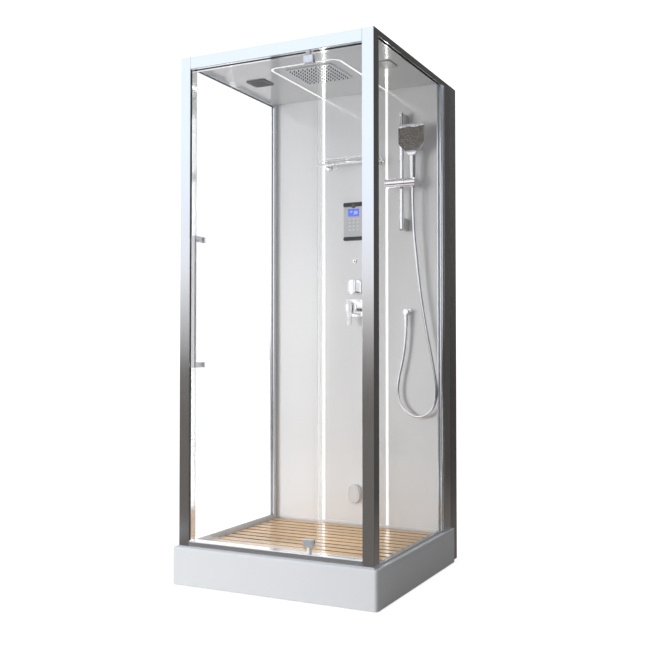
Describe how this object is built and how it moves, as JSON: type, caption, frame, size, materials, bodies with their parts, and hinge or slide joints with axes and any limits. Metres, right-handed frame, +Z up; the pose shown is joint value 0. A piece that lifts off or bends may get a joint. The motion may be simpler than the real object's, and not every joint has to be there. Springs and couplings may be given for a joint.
{
  "type": "framed shower cabin",
  "caption": "Free-standing square shower cabin: white tray with timber duckboard, satin metal frame, glass pivot door, lit white wall and ceiling, rain head, mixer and handset on a rail.",
  "frame": {"origin": "on the floor under the middle of the whole cabin's length and width", "axes": "+Z up, front with the door faces -Y, +X to the right of someone facing the door"},
  "size_m": [0.9, 0.983, 2.172],
  "materials": {
    "acrylic": "glossy white sanitary acrylic",
    "timber": "oiled light timber",
    "frame": "satin anodised",
    "rear_frame": "satin anodised",
    "wall": "glossy white panel",
    "ceiling": "satin white panel",
    "light": "lit opal diffuser",
    "glass": "clear tempered",
    "clear_seal": "clear flexible seal",
    "chrome": "polished",
    "pin_steel": "turned",
    "dark_plastic": "fine texture",
    "grey_plastic": "satin",
    "white_plastic": "glossy",
    "fascia": "printed film",
    "screen": "lit blue display",
    "hose": "smooth silver",
    "brass": "cast and turned",
    "steel": "brushed stainless",
    "rubber": "matte"
  },
  "bodies": {
    "cabin": {"tray": "acrylic", "tray_feet": "pin_steel", "drain_waste": "white_plastic", "front_left_post": "frame", "front_right_post": "frame", "front_header": "frame", "front_sill": "frame", "side_top_rails": "frame", "glass_channels": "frame", "wall_side_profiles": "rear_frame", "rear_posts": "rear_frame", "rear_cross_rails": "rear_frame", "centre_wall_panel": "wall", "outer_wall_panels": "wall", "wall_led_strips": "light", "ceiling_led_loop": "light", "ceiling_panel": "ceiling", "side_panes": "glass", "fixed_front_glass": "glass", "fixed_glass_seal": "clear_seal", "hinge_pivot_pins": "pin_steel", "shower_head_plate": "chrome", "shower_head_body": "white_plastic", "fan_grille": "grey_plastic", "fan_housing": "grey_plastic", "ceiling_speaker": "ceiling", "control_housing": "white_plastic", "control_fascia": "fascia", "control_bars": "dark_plastic", "control_screen": "screen", "body_jet": "chrome", "valve_plates": "chrome", "steam_outlet": "white_plastic", "shelf_glass": "glass", "shelf_rail": "chrome", "shower_rail": "chrome", "rail_brackets": "chrome", "hose": "hose", "wall_elbow": "chrome", "valve_bodies": "brass", "supply_pipes": "steel", "steam_generator": "steel", "control_box": "grey_plastic"},
    "door": {"door_glass": "glass", "door_seals": "clear_seal", "hinge_clamps": "chrome", "door_handle_bar": "chrome", "door_handle_fixings": "chrome"},
    "fan_wheel": {"fan_rotor": "dark_plastic"},
    "power_key": {"power_button": "dark_plastic"},
    "diverter": {"diverter_knob": "chrome"},
    "mixer_turn": {"mixer_cap": "chrome"},
    "mixer_handle": {"mixer_lever": "chrome"},
    "slider": {"rail_slider": "chrome"},
    "release": {"slider_button": "chrome"},
    "holder": {"handset_holder": "chrome"},
    "handset": {"handset_body": "chrome", "handset_face": "grey_plastic"},
    "duckboard": {"duckboard_slats": "timber", "duckboard_bearers": "timber"}
  },
  "joints": [
    {"name": "door_swing", "type": "hinge", "parent": "cabin", "child": "door", "pos_m": [0.1515, -0.4295, 1.1], "axis": [0, 0, 1], "range_deg": [0, 95]},
    {"name": "duckboard_lift", "type": "slide", "parent": "cabin", "child": "duckboard", "axis": [0, 0, 1], "range_m": [0, 0.1]},
    {"name": "fan_spin", "type": "hinge", "parent": "cabin", "child": "fan_wheel", "pos_m": [-0.296, -0.0435, 2.152], "axis": [0, 0, 1], "continuous": true},
    {"name": "power_push", "type": "slide", "parent": "cabin", "child": "power_key", "axis": [0, 1, 0], "range_m": [0, 0.0012], "stiffness_N_per_m": 300},
    {"name": "diverter_rotate", "type": "hinge", "parent": "cabin", "child": "diverter", "pos_m": [0, 0.3185, 1.234], "axis": [0, 1, 0], "range_deg": [-90, 90]},
    {"name": "mixer_temperature", "type": "hinge", "parent": "cabin", "child": "mixer_turn", "pos_m": [0, 0.3185, 1.138], "axis": [0, 1, 0], "range_deg": [-50, 50]},
    {"name": "mixer_flow", "type": "hinge", "parent": "mixer_turn", "child": "mixer_handle", "pos_m": [0, 0.2865, 1.154], "axis": [-1, 0, 0], "range_deg": [0, 20]},
    {"name": "slider_slide", "type": "slide", "parent": "cabin", "child": "slider", "axis": [0, 0, 1], "range_m": [-0.12, 0.14], "deforming": ["hose"]},
    {"name": "release_push", "type": "slide", "parent": "slider", "child": "release", "axis": [0, 0, -1], "range_m": [0, 0.003], "stiffness_N_per_m": 300},
    {"name": "holder_tilt", "type": "hinge", "parent": "slider", "child": "holder", "pos_m": [0.286, 0.2685, 1.686], "axis": [1, 0, 0], "range_deg": [0, 15], "deforming": ["hose"]},
    {"name": "handset_lift", "type": "slide", "parent": "holder", "child": "handset", "axis": [0, -0.0175, 0.9998], "range_m": [0, 0.04], "deforming": ["hose"]}
  ]
}
